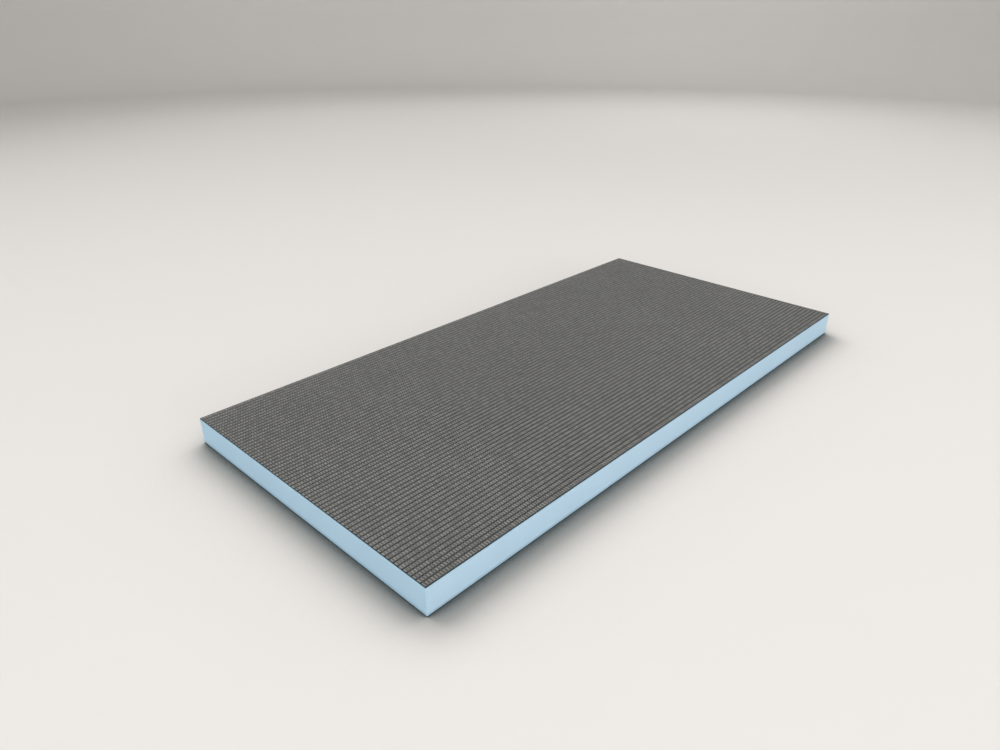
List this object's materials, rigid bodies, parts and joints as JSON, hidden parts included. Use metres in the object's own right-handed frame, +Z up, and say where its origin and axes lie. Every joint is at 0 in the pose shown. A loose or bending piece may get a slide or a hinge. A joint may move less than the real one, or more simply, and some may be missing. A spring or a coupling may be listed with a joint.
{
  "type": "foam tile backer board",
  "caption": "Rigid blue foam board with a thin mesh-reinforced grey cement coat on both faces; a light, waterproof, insulating base for tiles on floors and walls.",
  "frame": {"origin": "middle of the underside, on the level floor that the board lies on", "axes": "+X along the board's length, +Y across its width, +Z up through its thickness, out of the top coat"},
  "size_m": [1.25, 0.6, 0.05],
  "materials": {
    "foam": "sawn closed-cell foam, matt light blue",
    "cement_coat": "matt grey polymer cement, cast over a glass-fibre mesh",
    "glass_yarn": "cement-soaked glass-fibre yarn"
  },
  "bodies": {
    "root": {"foam_core": "foam", "top_coat": "cement_coat", "bottom_coat": "cement_coat"}
  },
  "joints": []
}
